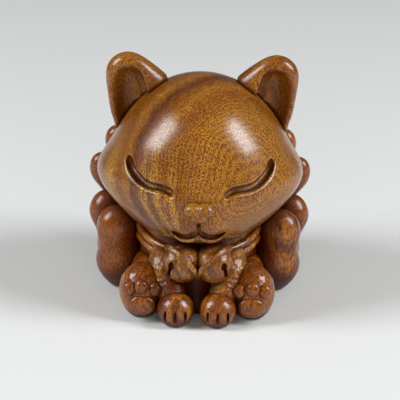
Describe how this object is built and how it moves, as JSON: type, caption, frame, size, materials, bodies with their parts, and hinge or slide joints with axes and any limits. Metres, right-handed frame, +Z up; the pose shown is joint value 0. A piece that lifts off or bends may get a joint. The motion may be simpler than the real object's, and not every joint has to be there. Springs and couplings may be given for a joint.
{
  "type": "fox figurine",
  "caption": "Palm-sized seated fox carved in oiled hardwood: broad smiling head, hollow ears, bells on a cord collar and a fan of tails behind, on a flat base.",
  "frame": {"origin": "on the ground plane, under the middle of the figure's bounding box", "axes": "+Z up, the fox looks along -Y, +X is the fox's own left side"},
  "size_m": [0.0534, 0.0538, 0.0587],
  "materials": {
    "oiled_wood": "oiled and waxed, semi-gloss"
  },
  "bodies": {
    "root": {"head": "oiled_wood", "nose": "oiled_wood", "torso": "oiled_wood", "collar_upper": "oiled_wood", "collar_lower": "oiled_wood", "tail_root": "oiled_wood", "tail_centre": "oiled_wood", "ear_left": "oiled_wood", "ear_right": "oiled_wood", "bell_left": "oiled_wood", "bell_right": "oiled_wood", "foreleg_left": "oiled_wood", "foreleg_right": "oiled_wood", "forepaw_left": "oiled_wood", "forepaw_right": "oiled_wood", "thigh_left": "oiled_wood", "thigh_right": "oiled_wood", "hind_foot_left": "oiled_wood", "hind_foot_right": "oiled_wood", "hind_pads_left": "oiled_wood", "hind_pads_right": "oiled_wood", "tail_front_left": "oiled_wood", "tail_front_right": "oiled_wood", "tail_low_left": "oiled_wood", "tail_low_right": "oiled_wood", "tail_middle_left": "oiled_wood", "tail_middle_right": "oiled_wood", "tail_high_left": "oiled_wood", "tail_high_right": "oiled_wood"}
  },
  "joints": []
}
